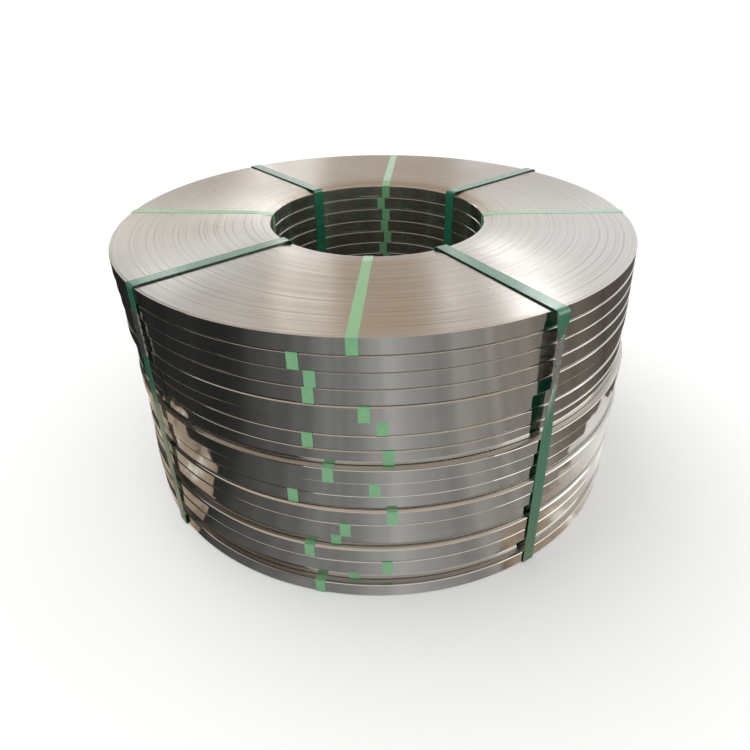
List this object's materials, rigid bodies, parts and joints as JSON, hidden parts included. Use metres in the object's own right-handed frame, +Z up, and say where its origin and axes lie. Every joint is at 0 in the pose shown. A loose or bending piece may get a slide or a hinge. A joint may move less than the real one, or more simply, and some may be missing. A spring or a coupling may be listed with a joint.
{
  "type": "strapped stack of slit steel coils",
  "caption": "Stack of narrow slit steel strip coils, eye to the sky, taped one by one and bound through the eye with green plastic straps and crimped seals.",
  "frame": {"origin": "on the floor under the middle of the eye", "axes": "+Z up along the axis of the eye, -Y the front of the stack, +X its right side as seen from the front"},
  "size_m": [0.7126, 0.7122, 0.3566],
  "materials": {
    "strip_steel": "bright cold-rolled strip, oiled, slit edges on the coil ends",
    "tape": "thin light green adhesive film tape",
    "strap": "dark green polyester strap, smooth with fine lengthwise streaks",
    "seal_metal": "dull zinc-plated sheet, crimped"
  },
  "bodies": {
    "root": {"coil_01": "strip_steel", "coil_02": "strip_steel", "coil_03": "strip_steel", "coil_04": "strip_steel", "coil_05": "strip_steel", "coil_06": "strip_steel", "coil_07": "strip_steel", "coil_08": "strip_steel", "coil_09": "strip_steel", "coil_10": "strip_steel", "coil_11": "strip_steel", "coil_12": "strip_steel", "coil_13": "strip_steel", "coil_14": "strip_steel", "coil_15": "strip_steel", "coil_16": "strip_steel", "coil_17": "strip_steel", "coil_18": "strip_steel", "front_tapes": "tape", "right_tapes": "tape", "back_tapes": "tape", "left_tapes": "tape", "strap_front_left": "strap", "strap_front_right": "strap", "strap_back_right": "strap", "strap_back_left": "strap", "seals_front_left": "seal_metal", "seals_front_right": "seal_metal", "seals_back_right": "seal_metal", "seals_back_left": "seal_metal"}
  },
  "joints": []
}
